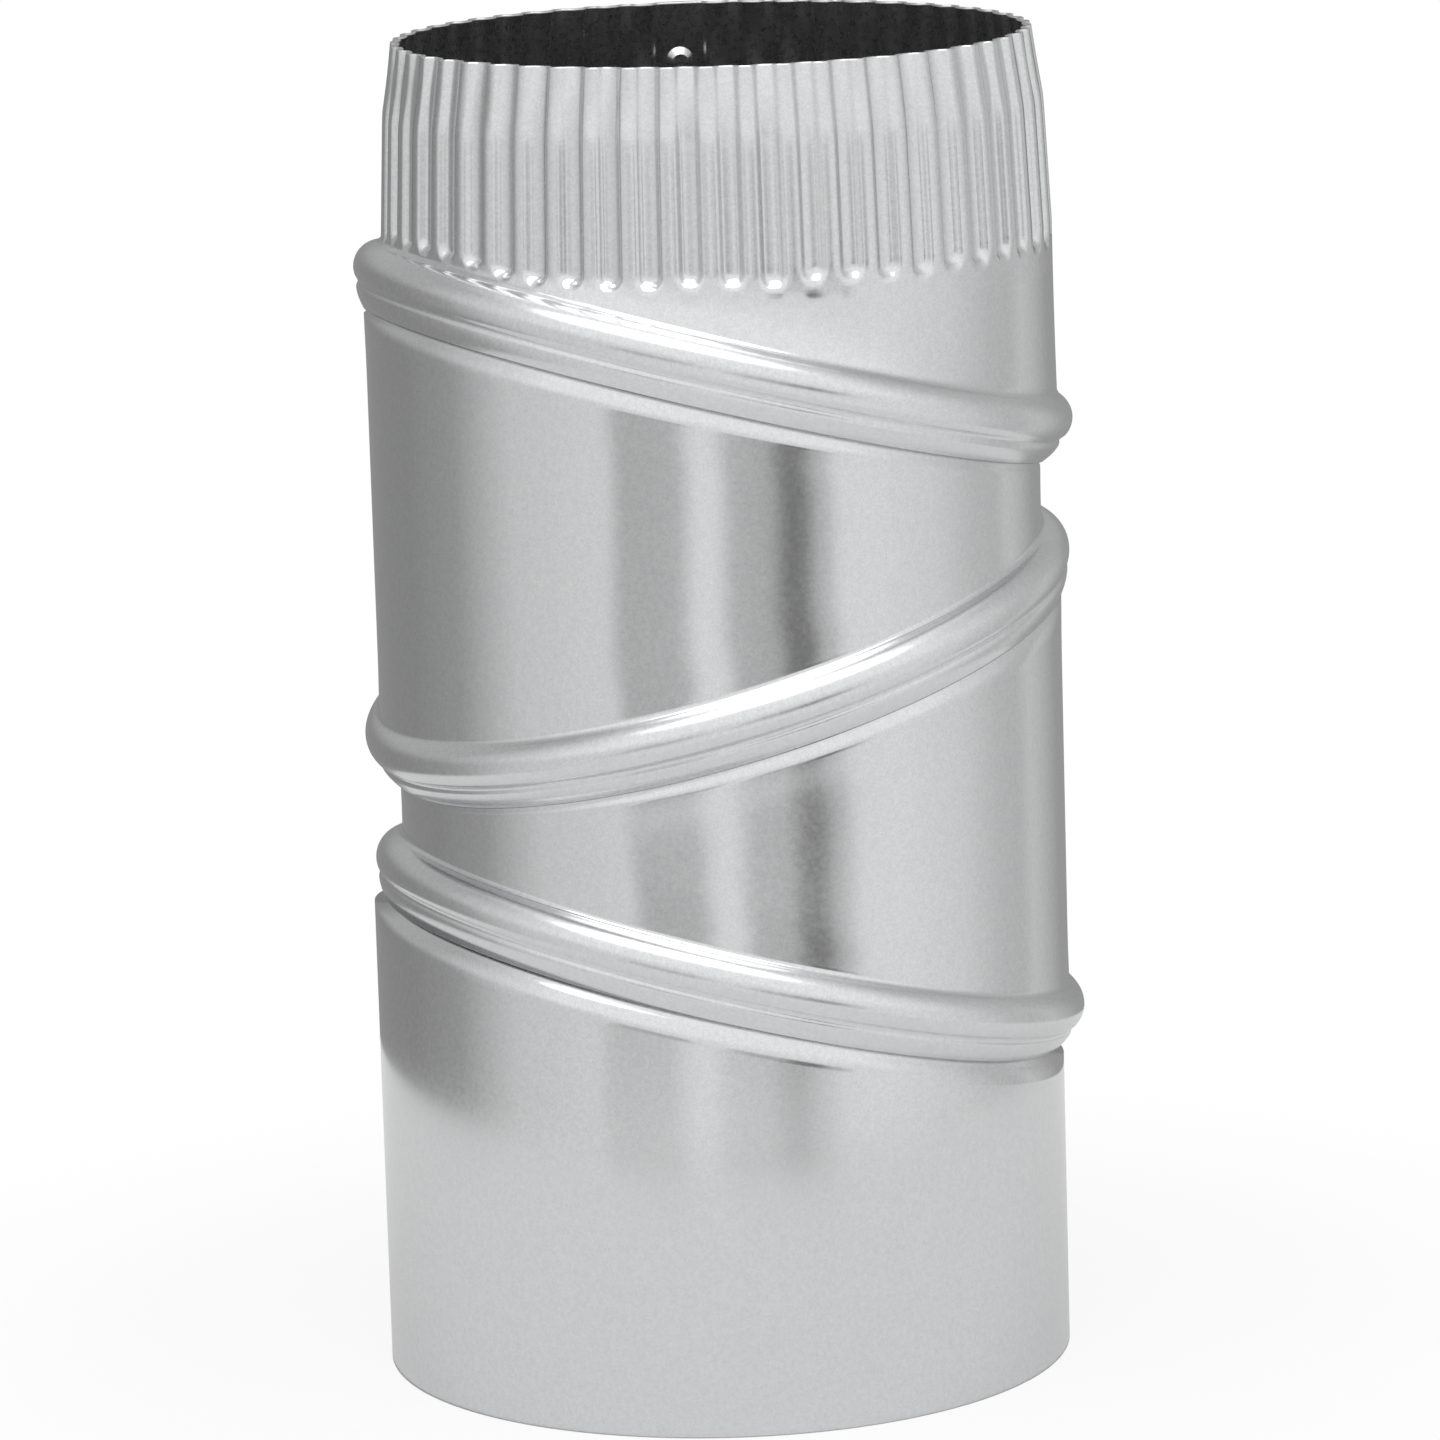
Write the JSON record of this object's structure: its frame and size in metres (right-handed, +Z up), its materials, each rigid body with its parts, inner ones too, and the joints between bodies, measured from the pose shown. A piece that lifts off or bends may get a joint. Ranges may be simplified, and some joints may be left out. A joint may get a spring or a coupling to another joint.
{
  "type": "adjustable duct elbow",
  "caption": "Round sheet-steel duct elbow set straight: tilted swivel beads join its gores, with a plain socket at the bottom and a crimped collar at the top.",
  "frame": {"origin": "centre of the plain end's rim", "axes": "+Z up the duct towards the crimped end; the beads lean in the XZ plane, and the lower bead's normal leans towards +X"},
  "size_m": [0.1063, 0.109, 0.1988],
  "materials": {
    "galvanised_sheet": "bright galvanised sheet with a fine mottled grain",
    "rivet_steel": "bright zinc-plated steel"
  },
  "bodies": {
    "plain_end": {"plain_end_gore": "galvanised_sheet"},
    "lower_middle": {"lower_middle_gore": "galvanised_sheet"},
    "upper_middle": {"upper_middle_gore": "galvanised_sheet"},
    "crimped_end": {"crimped_end_gore": "galvanised_sheet", "seam_rivet": "rivet_steel"}
  },
  "joints": [
    {"name": "lower_swivel", "type": "hinge", "parent": "plain_end", "child": "lower_middle", "pos_m": [0.00189, 0, 0.06412], "axis": [0.2588, 0, 0.9659], "continuous": true},
    {"name": "middle_swivel", "type": "hinge", "parent": "lower_middle", "child": "upper_middle", "pos_m": [0.00097, 0, 0.10865], "axis": [-0.2588, 0, 0.9659], "continuous": true},
    {"name": "upper_swivel", "type": "hinge", "parent": "upper_middle", "child": "crimped_end", "pos_m": [0.00189, 0, 0.15317], "axis": [0.2588, 0, 0.9659], "continuous": true}
  ]
}
